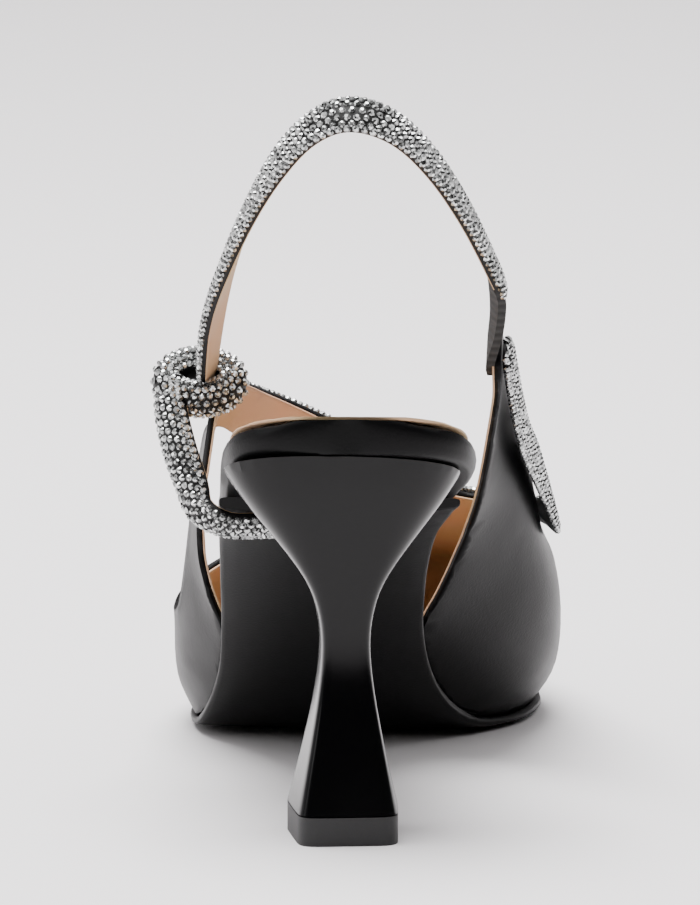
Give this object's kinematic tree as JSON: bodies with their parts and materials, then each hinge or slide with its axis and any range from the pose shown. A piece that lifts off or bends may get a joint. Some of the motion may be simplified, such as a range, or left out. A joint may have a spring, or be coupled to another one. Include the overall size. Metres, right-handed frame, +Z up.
{
  "type": "slingback pump",
  "caption": "Pointed slingback pump with a flared hourglass heel, open waist, and a jewelled sling, trim and side knot.",
  "frame": {"origin": "on the floor, at the middle of the top lift's foot", "axes": "+Z up, +Y towards the toe, +X towards the inner side of the foot"},
  "size_m": [0.0871, 0.237, 0.1567],
  "materials": {
    "upper_leather": "smooth black nappa with a soft sheen",
    "sole_leather": "smooth black sole leather",
    "lining_leather": "tan lining leather, matt",
    "heel_coating": "glossy black coating",
    "lift_rubber": "dark grey rubber, matt",
    "crystals": "close rows of silvery white crystals on a black ground",
    "elastic_band": "black woven elastic"
  },
  "bodies": {
    "root": {"upper": "upper_leather", "outsole": "sole_leather", "footbed": "upper_leather", "sock": "lining_leather", "heel_block": "heel_coating", "top_lift": "lift_rubber", "sling_strap": "crystals", "knot_strap": "crystals", "crystal_trim": "crystals", "elastic": "elastic_band"}
  },
  "joints": []
}
